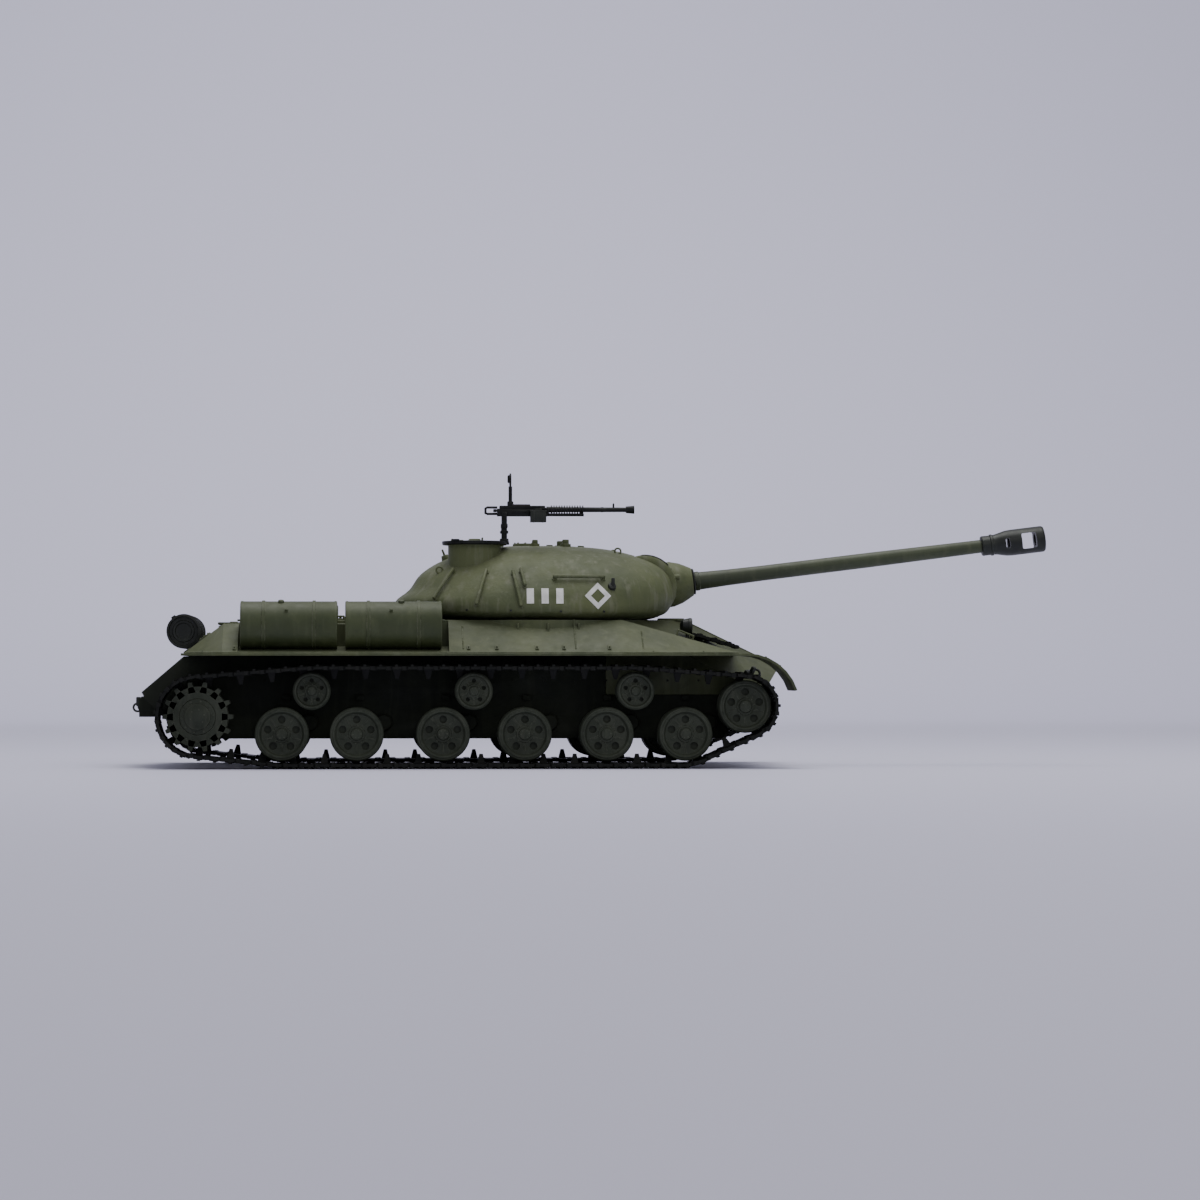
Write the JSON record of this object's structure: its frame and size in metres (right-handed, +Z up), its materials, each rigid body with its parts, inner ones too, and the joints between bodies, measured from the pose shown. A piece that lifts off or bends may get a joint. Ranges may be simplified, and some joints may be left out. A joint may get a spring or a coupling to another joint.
{
  "type": "rc tank",
  "caption": "Scale heavy tank model with a domed turret, long gun with muzzle brake, roof machine gun, spinning wheels in fixed tracks, sprung arms and opening hatches.",
  "frame": {"origin": "middle of the whole model's outline on the ground, gun included", "axes": "+X to the tank's front, +Y to its left, +Z up"},
  "size_m": [0.5971, 0.1968, 0.1909],
  "materials": {
    "hull_green": "matt olive green paint",
    "turret_green": "matt olive green paint with lighter worn edges",
    "gear_green": "dark matt green paint, dusty",
    "track_dark": "near-black track links",
    "gun_green": "dark olive paint on metal tube",
    "gun_dark": "gunmetal black",
    "gearbox_grey": "cast gearbox alloy",
    "cell_wrap": "shrink wrap",
    "board_green": "solder resist"
  },
  "bodies": {
    "hull": {"lower_hull": "hull_green", "upper_hull": "hull_green", "left_track": "track_dark", "right_track": "track_dark", "left_fuel_drum_1": "hull_green", "left_fuel_drum_2": "hull_green", "right_fuel_drum_1": "hull_green", "right_fuel_drum_2": "hull_green", "left_smoke_canister": "hull_green", "right_smoke_canister": "hull_green", "battery_pack": "cell_wrap", "control_board": "board_green", "left_gearbox": "gearbox_grey", "right_gearbox": "gearbox_grey", "headlight": "gun_dark"},
    "left_sprocket": {"left_sprocket": "gear_green"},
    "left_idler": {"left_idler": "gear_green"},
    "left_return_roller_1": {"left_return_roller_1": "gear_green"},
    "left_return_roller_2": {"left_return_roller_2": "gear_green"},
    "left_return_roller_3": {"left_return_roller_3": "gear_green"},
    "left_swing_arm_1": {"left_swing_arm_1": "gear_green"},
    "left_road_wheel_1": {"left_road_wheel_1": "gear_green"},
    "left_swing_arm_2": {"left_swing_arm_2": "gear_green"},
    "left_road_wheel_2": {"left_road_wheel_2": "gear_green"},
    "left_swing_arm_3": {"left_swing_arm_3": "gear_green"},
    "left_road_wheel_3": {"left_road_wheel_3": "gear_green"},
    "left_swing_arm_4": {"left_swing_arm_4": "gear_green"},
    "left_road_wheel_4": {"left_road_wheel_4": "gear_green"},
    "left_swing_arm_5": {"left_swing_arm_5": "gear_green"},
    "left_road_wheel_5": {"left_road_wheel_5": "gear_green"},
    "left_swing_arm_6": {"left_swing_arm_6": "gear_green"},
    "left_road_wheel_6": {"left_road_wheel_6": "gear_green"},
    "right_sprocket": {"right_sprocket": "gear_green"},
    "right_idler": {"right_idler": "gear_green"},
    "right_return_roller_1": {"right_return_roller_1": "gear_green"},
    "right_return_roller_2": {"right_return_roller_2": "gear_green"},
    "right_return_roller_3": {"right_return_roller_3": "gear_green"},
    "right_swing_arm_1": {"right_swing_arm_1": "gear_green"},
    "right_road_wheel_1": {"right_road_wheel_1": "gear_green"},
    "right_swing_arm_2": {"right_swing_arm_2": "gear_green"},
    "right_road_wheel_2": {"right_road_wheel_2": "gear_green"},
    "right_swing_arm_3": {"right_swing_arm_3": "gear_green"},
    "right_road_wheel_3": {"right_road_wheel_3": "gear_green"},
    "right_swing_arm_4": {"right_swing_arm_4": "gear_green"},
    "right_road_wheel_4": {"right_road_wheel_4": "gear_green"},
    "right_swing_arm_5": {"right_swing_arm_5": "gear_green"},
    "right_road_wheel_5": {"right_road_wheel_5": "gear_green"},
    "right_swing_arm_6": {"right_swing_arm_6": "gear_green"},
    "right_road_wheel_6": {"right_road_wheel_6": "gear_green"},
    "turret": {"turret_shell": "turret_green", "turret_race": "gearbox_grey"},
    "gun": {"mantlet": "turret_green", "gun_barrel": "gun_green", "muzzle_brake": "gun_dark"},
    "commander_hatch": {"commander_hatch": "turret_green"},
    "loader_hatch": {"loader_hatch": "turret_green"},
    "mg_mount": {"mg_mount": "gun_dark"},
    "machine_gun": {"machine_gun": "gun_dark"},
    "engine_cover": {"engine_cover": "hull_green"},
    "driver_hatch": {"driver_hatch": "hull_green"}
  },
  "joints": [
    {"name": "left_drive", "type": "hinge", "parent": "hull", "child": "left_sprocket", "pos_m": [-0.25886, 0.0775, 0.0331], "axis": [0, 1, 0], "continuous": true},
    {"name": "left_idler_spin", "type": "hinge", "parent": "hull", "child": "left_idler", "pos_m": [0.08974, 0.0775, 0.0395], "axis": [0, 1, 0], "continuous": true},
    {"name": "left_roller_spin_1", "type": "hinge", "parent": "hull", "child": "left_return_roller_1", "pos_m": [-0.18676, 0.0775, 0.0494], "axis": [0, 1, 0], "continuous": true},
    {"name": "left_roller_spin_2", "type": "hinge", "parent": "hull", "child": "left_return_roller_2", "pos_m": [-0.08366, 0.0775, 0.0494], "axis": [0, 1, 0], "continuous": true},
    {"name": "left_roller_spin_3", "type": "hinge", "parent": "hull", "child": "left_return_roller_3", "pos_m": [0.01954, 0.0775, 0.0494], "axis": [0, 1, 0], "continuous": true},
    {"name": "left_arm_swing_1", "type": "hinge", "parent": "hull", "child": "left_swing_arm_1", "pos_m": [-0.18866, 0.054, 0.029], "axis": [0, 1, 0], "range_deg": [0, 12], "stiffness_Nm_per_rad": 0.5, "springref_deg": -5.73},
    {"name": "left_wheel_spin_1", "type": "hinge", "parent": "left_swing_arm_1", "child": "left_road_wheel_1", "pos_m": [-0.20566, 0.0775, 0.022], "axis": [0, 1, 0], "continuous": true},
    {"name": "left_arm_swing_2", "type": "hinge", "parent": "hull", "child": "left_swing_arm_2", "pos_m": [-0.14116, 0.054, 0.029], "axis": [0, 1, 0], "range_deg": [0, 12], "stiffness_Nm_per_rad": 0.5, "springref_deg": -5.73},
    {"name": "left_wheel_spin_2", "type": "hinge", "parent": "left_swing_arm_2", "child": "left_road_wheel_2", "pos_m": [-0.15816, 0.0775, 0.022], "axis": [0, 1, 0], "continuous": true},
    {"name": "left_arm_swing_3", "type": "hinge", "parent": "hull", "child": "left_swing_arm_3", "pos_m": [-0.08626, 0.054, 0.029], "axis": [0, 1, 0], "range_deg": [0, 12], "stiffness_Nm_per_rad": 0.5, "springref_deg": -5.73},
    {"name": "left_wheel_spin_3", "type": "hinge", "parent": "left_swing_arm_3", "child": "left_road_wheel_3", "pos_m": [-0.10326, 0.0775, 0.022], "axis": [0, 1, 0], "continuous": true},
    {"name": "left_arm_swing_4", "type": "hinge", "parent": "hull", "child": "left_swing_arm_4", "pos_m": [-0.03426, 0.054, 0.029], "axis": [0, 1, 0], "range_deg": [0, 12], "stiffness_Nm_per_rad": 0.5, "springref_deg": -5.73},
    {"name": "left_wheel_spin_4", "type": "hinge", "parent": "left_swing_arm_4", "child": "left_road_wheel_4", "pos_m": [-0.05126, 0.0775, 0.022], "axis": [0, 1, 0], "continuous": true},
    {"name": "left_arm_swing_5", "type": "hinge", "parent": "hull", "child": "left_swing_arm_5", "pos_m": [0.01804, 0.054, 0.029], "axis": [0, 1, 0], "range_deg": [0, 12], "stiffness_Nm_per_rad": 0.5, "springref_deg": -5.73},
    {"name": "left_wheel_spin_5", "type": "hinge", "parent": "left_swing_arm_5", "child": "left_road_wheel_5", "pos_m": [0.00104, 0.0775, 0.022], "axis": [0, 1, 0], "continuous": true},
    {"name": "left_arm_swing_6", "type": "hinge", "parent": "hull", "child": "left_swing_arm_6", "pos_m": [0.06844, 0.054, 0.029], "axis": [0, 1, 0], "range_deg": [0, 12], "stiffness_Nm_per_rad": 0.5, "springref_deg": -5.73},
    {"name": "left_wheel_spin_6", "type": "hinge", "parent": "left_swing_arm_6", "child": "left_road_wheel_6", "pos_m": [0.05144, 0.0775, 0.022], "axis": [0, 1, 0], "continuous": true},
    {"name": "right_drive", "type": "hinge", "parent": "hull", "child": "right_sprocket", "pos_m": [-0.25886, -0.0775, 0.0331], "axis": [0, 1, 0], "continuous": true},
    {"name": "right_idler_spin", "type": "hinge", "parent": "hull", "child": "right_idler", "pos_m": [0.08974, -0.0775, 0.0395], "axis": [0, 1, 0], "continuous": true},
    {"name": "right_roller_spin_1", "type": "hinge", "parent": "hull", "child": "right_return_roller_1", "pos_m": [-0.18676, -0.0775, 0.0494], "axis": [0, 1, 0], "continuous": true},
    {"name": "right_roller_spin_2", "type": "hinge", "parent": "hull", "child": "right_return_roller_2", "pos_m": [-0.08366, -0.0775, 0.0494], "axis": [0, 1, 0], "continuous": true},
    {"name": "right_roller_spin_3", "type": "hinge", "parent": "hull", "child": "right_return_roller_3", "pos_m": [0.01954, -0.0775, 0.0494], "axis": [0, 1, 0], "continuous": true},
    {"name": "right_arm_swing_1", "type": "hinge", "parent": "hull", "child": "right_swing_arm_1", "pos_m": [-0.18866, -0.054, 0.029], "axis": [0, 1, 0], "range_deg": [0, 12], "stiffness_Nm_per_rad": 0.5, "springref_deg": -5.73},
    {"name": "right_wheel_spin_1", "type": "hinge", "parent": "right_swing_arm_1", "child": "right_road_wheel_1", "pos_m": [-0.20566, -0.0775, 0.022], "axis": [0, 1, 0], "continuous": true},
    {"name": "right_arm_swing_2", "type": "hinge", "parent": "hull", "child": "right_swing_arm_2", "pos_m": [-0.14116, -0.054, 0.029], "axis": [0, 1, 0], "range_deg": [0, 12], "stiffness_Nm_per_rad": 0.5, "springref_deg": -5.73},
    {"name": "right_wheel_spin_2", "type": "hinge", "parent": "right_swing_arm_2", "child": "right_road_wheel_2", "pos_m": [-0.15816, -0.0775, 0.022], "axis": [0, 1, 0], "continuous": true},
    {"name": "right_arm_swing_3", "type": "hinge", "parent": "hull", "child": "right_swing_arm_3", "pos_m": [-0.08626, -0.054, 0.029], "axis": [0, 1, 0], "range_deg": [0, 12], "stiffness_Nm_per_rad": 0.5, "springref_deg": -5.73},
    {"name": "right_wheel_spin_3", "type": "hinge", "parent": "right_swing_arm_3", "child": "right_road_wheel_3", "pos_m": [-0.10326, -0.0775, 0.022], "axis": [0, 1, 0], "continuous": true},
    {"name": "right_arm_swing_4", "type": "hinge", "parent": "hull", "child": "right_swing_arm_4", "pos_m": [-0.03426, -0.054, 0.029], "axis": [0, 1, 0], "range_deg": [0, 12], "stiffness_Nm_per_rad": 0.5, "springref_deg": -5.73},
    {"name": "right_wheel_spin_4", "type": "hinge", "parent": "right_swing_arm_4", "child": "right_road_wheel_4", "pos_m": [-0.05126, -0.0775, 0.022], "axis": [0, 1, 0], "continuous": true},
    {"name": "right_arm_swing_5", "type": "hinge", "parent": "hull", "child": "right_swing_arm_5", "pos_m": [0.01804, -0.054, 0.029], "axis": [0, 1, 0], "range_deg": [0, 12], "stiffness_Nm_per_rad": 0.5, "springref_deg": -5.73},
    {"name": "right_wheel_spin_5", "type": "hinge", "parent": "right_swing_arm_5", "child": "right_road_wheel_5", "pos_m": [0.00104, -0.0775, 0.022], "axis": [0, 1, 0], "continuous": true},
    {"name": "right_arm_swing_6", "type": "hinge", "parent": "hull", "child": "right_swing_arm_6", "pos_m": [0.06844, -0.054, 0.029], "axis": [0, 1, 0], "range_deg": [0, 12], "stiffness_Nm_per_rad": 0.5, "springref_deg": -5.73},
    {"name": "right_wheel_spin_6", "type": "hinge", "parent": "right_swing_arm_6", "child": "right_road_wheel_6", "pos_m": [0.05144, -0.0775, 0.022], "axis": [0, 1, 0], "continuous": true},
    {"name": "turret_traverse", "type": "hinge", "parent": "hull", "child": "turret", "pos_m": [-0.03756, 0, 0.095], "axis": [0, 0, 1], "continuous": true},
    {"name": "gun_elevation", "type": "hinge", "parent": "turret", "child": "gun", "pos_m": [0.03044, 0, 0.1171], "axis": [0, -1, 0], "range_deg": [-10, 13]},
    {"name": "commander_hatch_hinge", "type": "hinge", "parent": "turret", "child": "commander_hatch", "pos_m": [-0.09616, 0.027, 0.1475], "axis": [0, -1, 0], "range_deg": [0, 100]},
    {"name": "loader_hatch_hinge", "type": "hinge", "parent": "turret", "child": "loader_hatch", "pos_m": [-0.09616, -0.027, 0.1475], "axis": [0, -1, 0], "range_deg": [0, 100]},
    {"name": "mg_traverse", "type": "hinge", "parent": "turret", "child": "mg_mount", "pos_m": [-0.08156, -0.027, 0.1441], "axis": [0, 0, 1], "range_deg": [-120, 120]},
    {"name": "mg_elevation", "type": "hinge", "parent": "mg_mount", "child": "machine_gun", "pos_m": [-0.06226, -0.027, 0.1645], "axis": [0, -1, 0], "range_deg": [-8, 60]},
    {"name": "engine_cover_hinge", "type": "hinge", "parent": "hull", "child": "engine_cover", "pos_m": [-0.08756, 0.046, 0.0928], "axis": [-1, 0, 0], "range_deg": [0, 95]},
    {"name": "driver_hatch_swivel", "type": "hinge", "parent": "hull", "child": "driver_hatch", "pos_m": [0.04244, 0.007, 0.0953], "axis": [0, 0, 1], "range_deg": [0, 95]}
  ],
  "couplings": [
    {"joint": "left_idler_spin", "follows": "left_drive", "ratio": 1.3184},
    {"joint": "left_roller_spin_1", "follows": "left_drive", "ratio": 1.8415},
    {"joint": "left_roller_spin_2", "follows": "left_drive", "ratio": 1.8415},
    {"joint": "left_roller_spin_3", "follows": "left_drive", "ratio": 1.8415},
    {"joint": "left_wheel_spin_1", "follows": "left_drive", "ratio": 1.2954},
    {"joint": "left_wheel_spin_2", "follows": "left_drive", "ratio": 1.2954},
    {"joint": "left_wheel_spin_3", "follows": "left_drive", "ratio": 1.2954},
    {"joint": "left_wheel_spin_4", "follows": "left_drive", "ratio": 1.2954},
    {"joint": "left_wheel_spin_5", "follows": "left_drive", "ratio": 1.2954},
    {"joint": "left_wheel_spin_6", "follows": "left_drive", "ratio": 1.2954},
    {"joint": "right_idler_spin", "follows": "right_drive", "ratio": 1.3184},
    {"joint": "right_roller_spin_1", "follows": "right_drive", "ratio": 1.8415},
    {"joint": "right_roller_spin_2", "follows": "right_drive", "ratio": 1.8415},
    {"joint": "right_roller_spin_3", "follows": "right_drive", "ratio": 1.8415},
    {"joint": "right_wheel_spin_1", "follows": "right_drive", "ratio": 1.2954},
    {"joint": "right_wheel_spin_2", "follows": "right_drive", "ratio": 1.2954},
    {"joint": "right_wheel_spin_3", "follows": "right_drive", "ratio": 1.2954},
    {"joint": "right_wheel_spin_4", "follows": "right_drive", "ratio": 1.2954},
    {"joint": "right_wheel_spin_5", "follows": "right_drive", "ratio": 1.2954},
    {"joint": "right_wheel_spin_6", "follows": "right_drive", "ratio": 1.2954}
  ]
}
